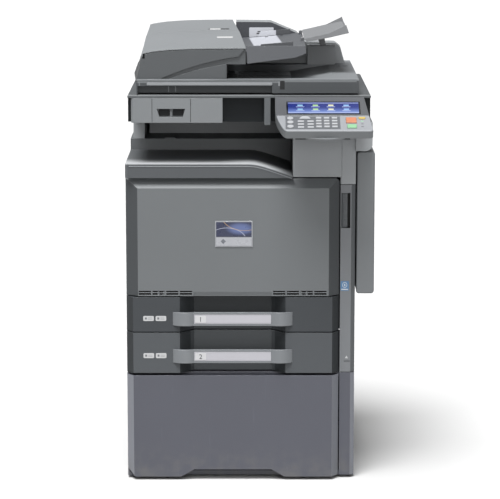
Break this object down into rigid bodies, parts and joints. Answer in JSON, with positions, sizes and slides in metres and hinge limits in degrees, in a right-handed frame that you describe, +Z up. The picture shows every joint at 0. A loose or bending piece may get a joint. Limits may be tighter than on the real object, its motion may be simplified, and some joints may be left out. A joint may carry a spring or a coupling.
{
  "type": "photocopier",
  "caption": "Floor-standing colour photocopier with paper cassettes, storage cabinet, flatbed scanner, document processor and tilting touch panel.",
  "frame": {"origin": "on the floor, under the centre of the whole machine's bounding box", "axes": "+Z up, -Y out of the front where the control panel is, +X to the right of someone facing the front"},
  "size_m": [0.663, 0.7662, 1.2171],
  "materials": {
    "cover_grey": "fine texture",
    "cover_light": "fine texture",
    "dark_plastic": "satin",
    "cabinet_paint": "satin powder coat",
    "tray_plastic": "matt",
    "steel": "zinc plated",
    "rubber_black": "matt",
    "roller": "matt",
    "glass": "clear",
    "screen_glass": "gloss",
    "key_orange": "satin",
    "key_green": "satin",
    "key_yellow": "satin",
    "key_mat": "matt",
    "handle_grey": "satin",
    "badge": "gloss",
    "white_pad": "foam with film",
    "paint_steel": "satin",
    "toner": "satin"
  },
  "bodies": {
    "main_unit": {"cabinet_case": "cabinet_paint", "cabinet_feet": "rubber_black", "chassis": "steel", "left_cover": "cover_grey", "rear_cover": "cover_grey", "right_side_cover": "cover_grey", "right_column": "cover_grey", "front_bezel": "cover_grey", "output_tray": "tray_plastic", "exit_back_wall": "dark_plastic", "upper_right_cover": "cover_grey", "toner_containers": "toner", "drum_units": "toner", "transfer_belt_unit": "dark_plastic", "laser_unit": "dark_plastic", "fuser_case": "steel", "side_hinge": "steel", "scanner_base": "dark_plastic", "scanner_front_panel": "cover_light", "platen_frame": "cover_grey", "platen_glass": "glass", "panel_bracket": "cover_grey", "lid_hinges": "paint_steel"},
    "cabinet_door": {"cabinet_door": "cabinet_paint"},
    "front_cover": {"front_cover": "cover_grey", "front_badge": "badge"},
    "cassette_1": {"cassette_1_front": "cover_grey", "cassette_1_handle": "handle_grey", "cassette_1_box": "dark_plastic"},
    "cassette_2": {"cassette_2_front": "cover_grey", "cassette_2_handle": "handle_grey", "cassette_2_box": "dark_plastic"},
    "side_unit": {"right_cover": "cover_grey"},
    "bypass_tray": {"bypass_tray": "cover_grey"},
    "release_lever": {"release_lever": "dark_plastic"},
    "scan_carriage": {"scan_carriage": "dark_plastic"},
    "mirror_carriage": {"mirror_carriage": "dark_plastic"},
    "control_panel": {"panel_case": "cover_grey", "touch_screen": "screen_glass", "keypad_mat": "key_mat"},
    "start_key": {"start_key": "key_green"},
    "stop_key": {"stop_key": "key_orange"},
    "power_key": {"power_key": "key_yellow"},
    "document_processor": {"lid_base": "cover_grey", "platen_pad": "white_pad", "eject_tray": "cover_grey", "dp_feeder": "cover_grey", "document_table": "cover_grey", "dp_rear_cover": "cover_grey"},
    "feeder_top_cover": {"dp_top_cover": "cover_light"},
    "feed_roller": {"dp_feed_roller": "roller"},
    "guide_front": {"width_guide_front": "cover_grey"},
    "guide_rear": {"width_guide_rear": "cover_grey"},
    "table_extension": {"table_extension": "cover_grey"},
    "exit_roller": {"exit_roller": "roller"},
    "heat_roller": {"heat_roller": "roller"},
    "press_roller": {"press_roller": "roller"},
    "pickup_roller_1": {"pickup_roller_1": "roller"},
    "pickup_roller_2": {"pickup_roller_2": "roller"}
  },
  "joints": [
    {"name": "cabinet_door_hinge", "type": "hinge", "parent": "main_unit", "child": "cabinet_door", "pos_m": [-0.328, -0.1795, 0.149], "axis": [0, 0, -1], "range_deg": [0, 110]},
    {"name": "front_cover_hinge", "type": "hinge", "parent": "main_unit", "child": "front_cover", "pos_m": [-0.047, -0.202, 0.5105], "axis": [1, 0, 0], "range_deg": [0, 85]},
    {"name": "cassette_1_slide", "type": "slide", "parent": "main_unit", "child": "cassette_1", "axis": [0, -1, 0], "range_m": [0, 0.4]},
    {"name": "cassette_2_slide", "type": "slide", "parent": "main_unit", "child": "cassette_2", "axis": [0, -1, 0], "range_m": [0, 0.4]},
    {"name": "side_unit_hinge", "type": "hinge", "parent": "main_unit", "child": "side_unit", "pos_m": [0.287, 0.3095, 0.6985], "axis": [0, 0, 1], "range_deg": [0, 75]},
    {"name": "bypass_hinge", "type": "hinge", "parent": "side_unit", "child": "bypass_tray", "pos_m": [0.326, 0.0435, 0.561], "axis": [0, 1, 0], "range_deg": [0, 70]},
    {"name": "release_lever_pivot", "type": "hinge", "parent": "main_unit", "child": "release_lever", "pos_m": [0.2465, -0.1745, 0.733], "axis": [0, 0, -1], "range_deg": [0, 20], "stiffness_Nm_per_rad": 0.05, "springref_deg": -11.46},
    {"name": "scan_carriage_slide", "type": "slide", "parent": "main_unit", "child": "scan_carriage", "axis": [1, 0, 0], "range_m": [0, 0.42]},
    {"name": "mirror_carriage_slide", "type": "slide", "parent": "main_unit", "child": "mirror_carriage", "axis": [1, 0, 0], "range_m": [0, 0.21]},
    {"name": "panel_tilt", "type": "hinge", "parent": "main_unit", "child": "control_panel", "pos_m": [0.19, -0.23153, 1.02147], "axis": [1, 0, 0], "range_deg": [-20, 20]},
    {"name": "start_key_press", "type": "slide", "parent": "control_panel", "child": "start_key", "axis": [0, 0.3907, -0.9205], "range_m": [0, 0.0012], "stiffness_N_per_m": 400, "springref_m": -0.001},
    {"name": "stop_key_press", "type": "slide", "parent": "control_panel", "child": "stop_key", "axis": [0, 0.3907, -0.9205], "range_m": [0, 0.0012], "stiffness_N_per_m": 400, "springref_m": -0.001},
    {"name": "power_key_press", "type": "slide", "parent": "control_panel", "child": "power_key", "axis": [0, 0.3907, -0.9205], "range_m": [0, 0.0012], "stiffness_N_per_m": 400, "springref_m": -0.001},
    {"name": "document_processor_hinge", "type": "hinge", "parent": "main_unit", "child": "document_processor", "pos_m": [-0.007, 0.3655, 1.057], "axis": [-1, 0, 0], "range_deg": [0, 60]},
    {"name": "feeder_cover_hinge", "type": "hinge", "parent": "document_processor", "child": "feeder_top_cover", "pos_m": [-0.2815, 0.0445, 1.145], "axis": [0, -1, 0], "range_deg": [0, 60]},
    {"name": "feed_roller_spin", "type": "hinge", "parent": "document_processor", "child": "feed_roller", "pos_m": [-0.104, 0.0245, 1.141], "axis": [0, 1, 0], "continuous": true},
    {"name": "guide_front_slide", "type": "slide", "parent": "document_processor", "child": "guide_front", "axis": [0, 1, 0.0035], "range_m": [0, 0.09]},
    {"name": "guide_rear_slide", "type": "slide", "parent": "document_processor", "child": "guide_rear", "axis": [0, 1, 0.0035], "range_m": [-0.09, 0]},
    {"name": "table_extension_hinge", "type": "hinge", "parent": "document_processor", "child": "table_extension", "pos_m": [0.13989, 0.03443, 1.1761], "axis": [0, -1, -0.0035], "range_deg": [0, 95]},
    {"name": "exit_roller_spin", "type": "hinge", "parent": "main_unit", "child": "exit_roller", "pos_m": [0.126, -0.0395, 0.886], "axis": [0, 1, 0], "continuous": true},
    {"name": "heat_roller_spin", "type": "hinge", "parent": "main_unit", "child": "heat_roller", "pos_m": [0.1628, 0.0555, 0.75], "axis": [0, 1, 0], "continuous": true},
    {"name": "press_roller_spin", "type": "hinge", "parent": "main_unit", "child": "press_roller", "pos_m": [0.1992, 0.0555, 0.75], "axis": [0, 1, 0], "continuous": true},
    {"name": "pickup_roller_1_spin", "type": "hinge", "parent": "main_unit", "child": "pickup_roller_1", "pos_m": [0.151, 0.0265, 0.4965], "axis": [0, 1, 0], "continuous": true},
    {"name": "pickup_roller_2_spin", "type": "hinge", "parent": "main_unit", "child": "pickup_roller_2", "pos_m": [0.151, 0.0265, 0.3995], "axis": [0, 1, 0], "continuous": true}
  ],
  "couplings": [
    {"joint": "mirror_carriage_slide", "follows": "scan_carriage_slide", "ratio": 0.5},
    {"joint": "guide_rear_slide", "follows": "guide_front_slide", "ratio": -1},
    {"joint": "press_roller_spin", "follows": "heat_roller_spin", "ratio": -1}
  ]
}
